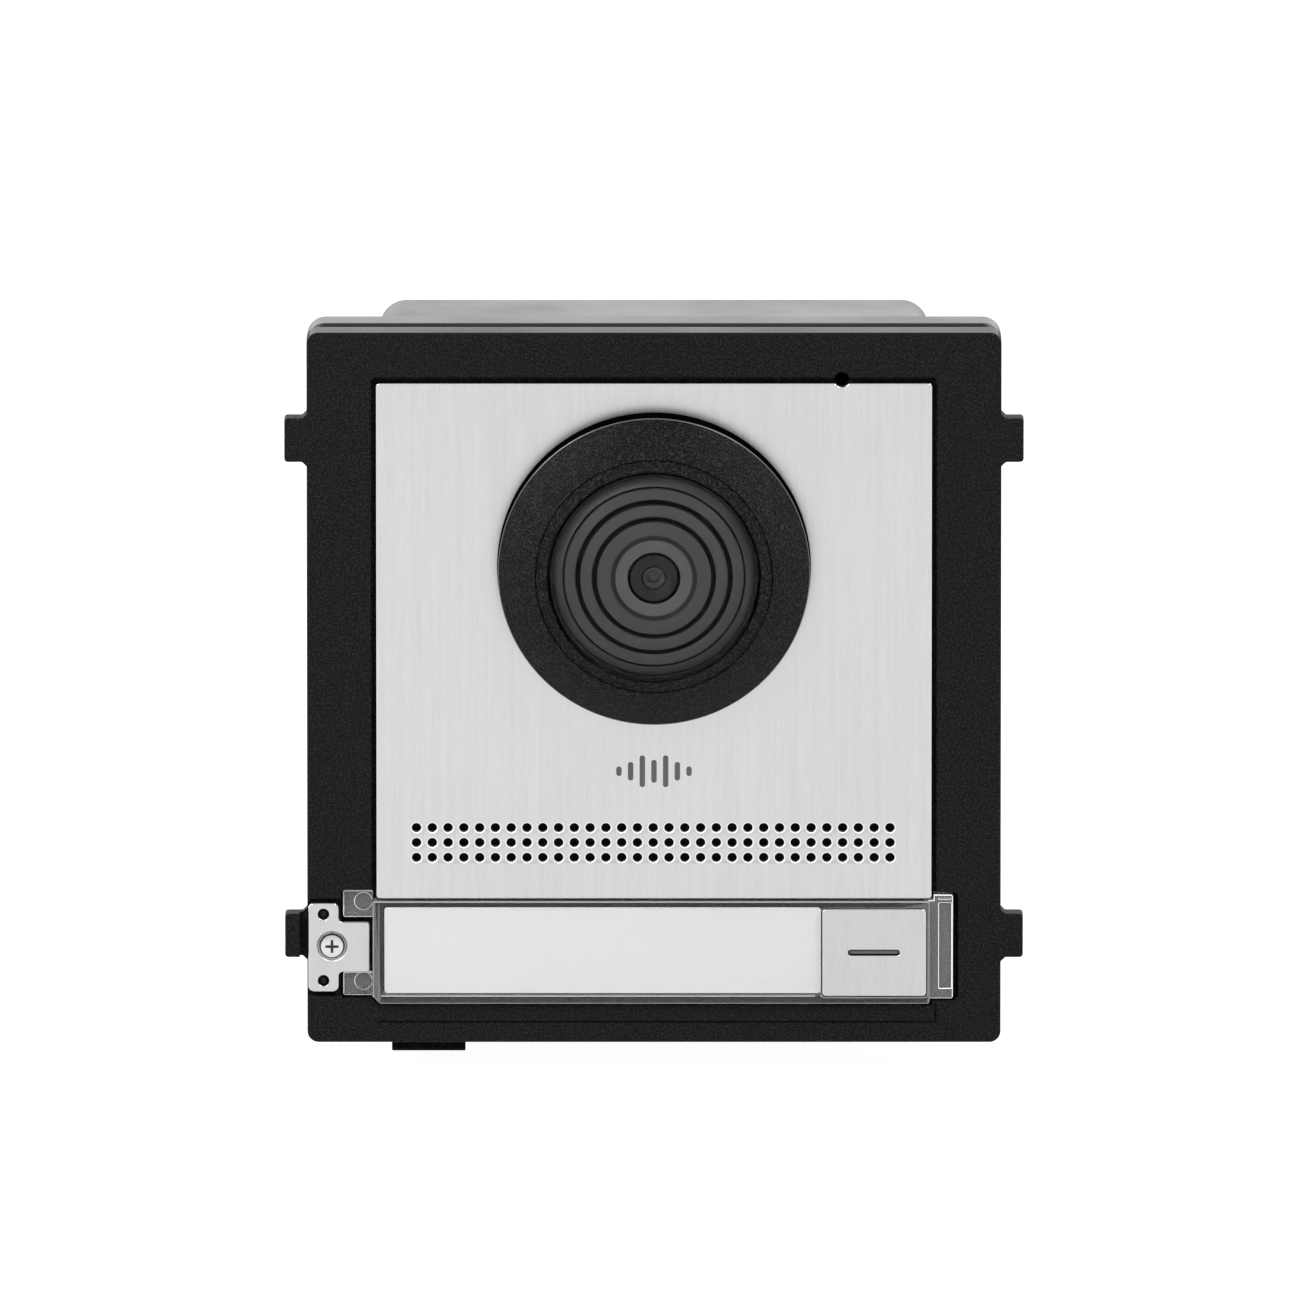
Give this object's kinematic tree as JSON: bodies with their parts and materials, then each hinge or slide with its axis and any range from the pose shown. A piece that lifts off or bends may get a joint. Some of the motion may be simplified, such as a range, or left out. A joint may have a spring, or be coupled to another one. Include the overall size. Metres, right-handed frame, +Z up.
{
  "type": "door intercom panel",
  "caption": "Flush-mount door intercom module: domed camera, speaker grille, call button and name card in a black frame, with a rear housing behind.",
  "frame": {"origin": "centre of the rear housing's flat back face", "axes": "+X to the right as a visitor sees it, +Y into the wall, +Z up"},
  "size_m": [0.098, 0.0435, 0.0998],
  "materials": {
    "frame_textured_black": "fine moulded texture, semi-matt",
    "housing_black": "smooth moulded, semi-gloss",
    "faceplate_steel": "vertical brushed grain",
    "button_steel": "fine brushed",
    "bracket_steel": "satin stamped sheet",
    "screw_steel": "bright plated",
    "camera_black": "fine texture on the cone, gloss on the side wall",
    "window_clear": "clear polished dome",
    "baffle_grey": "matt grey terraces",
    "lens_black": "semi-gloss black",
    "lens_glass": "coated lens",
    "clear_cover": "clear moulded polycarbonate",
    "card_white": "plain white card",
    "light_guide_milky": "milky diffuser",
    "rubber_black": "matt rubber",
    "board_green": "solder-masked board",
    "connector_black": "moulded connector",
    "terminal_green": "moulded terminal block",
    "chip_black": "moulded package",
    "metal_shield": "plain sheet metal",
    "cone_black": "woven or paper, matt"
  },
  "bodies": {
    "module": {"front_frame": "frame_textured_black", "faceplate": "faceplate_steel", "camera_ring": "camera_black", "camera_bezel": "camera_black", "camera_window": "window_clear", "window_seal": "rubber_black", "lens_baffle": "baffle_grey", "lens_barrel": "lens_black", "lens_front_element": "lens_glass", "lens_holder": "lens_black", "image_sensor_board": "board_green", "camera_back_cover": "housing_black", "speaker_mesh": "cone_black", "speaker_gasket": "rubber_black", "speaker_basket": "connector_black", "speaker_cone": "cone_black", "speaker_magnet": "metal_shield", "microphone_boot": "rubber_black", "microphone_capsule": "metal_shield", "name_cover": "clear_cover", "name_card": "card_white", "card_light_guide": "light_guide_milky", "button_diaphragm": "rubber_black", "switch_body": "chip_black", "key_board": "board_green", "retainer_bracket": "bracket_steel", "retainer_screw": "screw_steel", "housing_seal": "rubber_black", "rear_housing": "housing_black", "housing_screw_1": "screw_steel", "housing_screw_2": "screw_steel", "housing_screw_3": "screw_steel", "housing_screw_4": "screw_steel", "main_board": "board_green", "processor": "chip_black", "board_screw_1": "screw_steel", "board_screw_2": "screw_steel", "board_screw_3": "screw_steel", "board_screw_4": "screw_steel", "network_jack": "metal_shield", "terminal_block": "terminal_green", "left_link_socket": "connector_black", "right_link_socket": "connector_black", "tamper_switch": "chip_black"},
    "call_button": {"call_button": "button_steel", "button_light_strip": "light_guide_milky", "button_carrier": "connector_black"},
    "switch_plunger": {"switch_plunger": "connector_black"},
    "tamper_plunger": {"tamper_plunger": "connector_black"},
    "bottom_latch": {"bottom_latch": "frame_textured_black"}
  },
  "joints": [
    {"name": "call_button_press", "type": "slide", "parent": "module", "child": "call_button", "axis": [0, 1, 0], "range_m": [0, 0.0006], "stiffness_N_per_m": 3000, "springref_m": -0.0003},
    {"name": "switch_plunger_press", "type": "slide", "parent": "module", "child": "switch_plunger", "axis": [0, 1, 0], "range_m": [0, 0.0006]},
    {"name": "tamper_plunger_press", "type": "slide", "parent": "module", "child": "tamper_plunger", "axis": [0, -1, 0], "range_m": [0, 0.0015], "stiffness_N_per_m": 400, "springref_m": -0.001},
    {"name": "bottom_latch_flex", "type": "hinge", "parent": "module", "child": "bottom_latch", "pos_m": [-0.03, -0.0042, -0.0471], "axis": [1, 0, 0], "range_deg": [-4, 0], "stiffness_Nm_per_rad": 2}
  ],
  "couplings": [
    {"joint": "switch_plunger_press", "follows": "call_button_press", "ratio": 1}
  ]
}
